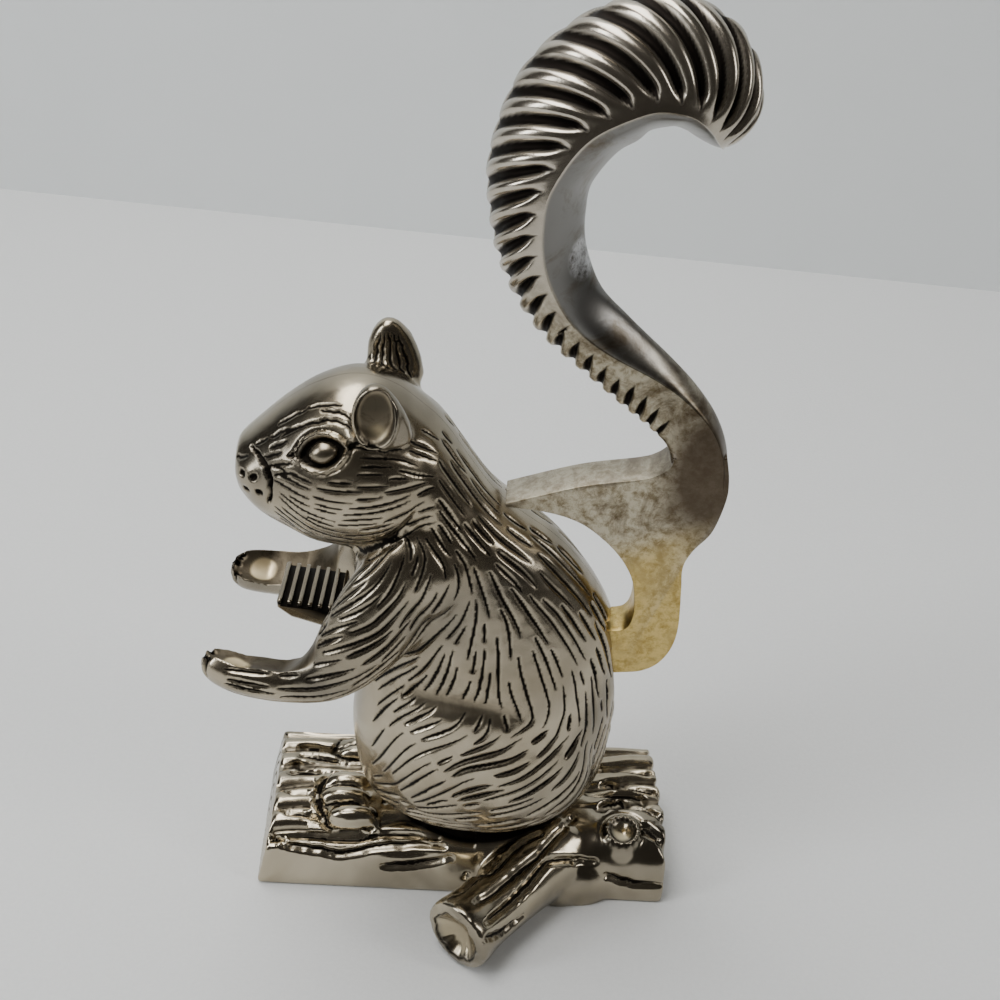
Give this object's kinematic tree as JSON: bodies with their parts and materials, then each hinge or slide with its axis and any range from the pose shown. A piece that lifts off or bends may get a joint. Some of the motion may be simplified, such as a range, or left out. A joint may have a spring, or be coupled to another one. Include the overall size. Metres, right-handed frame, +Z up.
{
  "type": "nutcracker",
  "caption": "Squirrel-shaped lever nutcracker on a log base; its tail is a hinged lever that lifts a ribbed jaw between the arms towards a ribbed anvil under the chin.",
  "frame": {"origin": "centre of the log's underside, on the plane it stands on", "axes": "+Z up, +X towards the tail, -X towards the nose, +Y towards the figure's right side"},
  "size_m": [0.1143, 0.0688, 0.218],
  "materials": {
    "silver": "antiqued silver plate on a cast body, dark in the engraving",
    "silver_base": "antiqued silver plate, polished on the high bark",
    "worn_silver": "worn silver plate with yellow and brown tarnish on the flat lever",
    "steel": "plain bright steel",
    "brass": "plain brass"
  },
  "bodies": {
    "figure": {"log_base": "silver_base", "body_left_half": "silver", "body_right_half": "silver", "upper_anvil": "silver", "pivot_pin": "steel", "pivot_washers": "brass", "locating_dowels": "steel", "base_screws": "steel"},
    "lever": {"tail_lever": "worn_silver", "lower_jaw": "silver", "jaw_rivets": "steel"}
  },
  "joints": [
    {"name": "tail_hinge", "type": "hinge", "parent": "figure", "child": "lever", "pos_m": [-0.008, 0, 0.072], "axis": [0, 1, 0], "range_deg": [0, 26]}
  ]
}
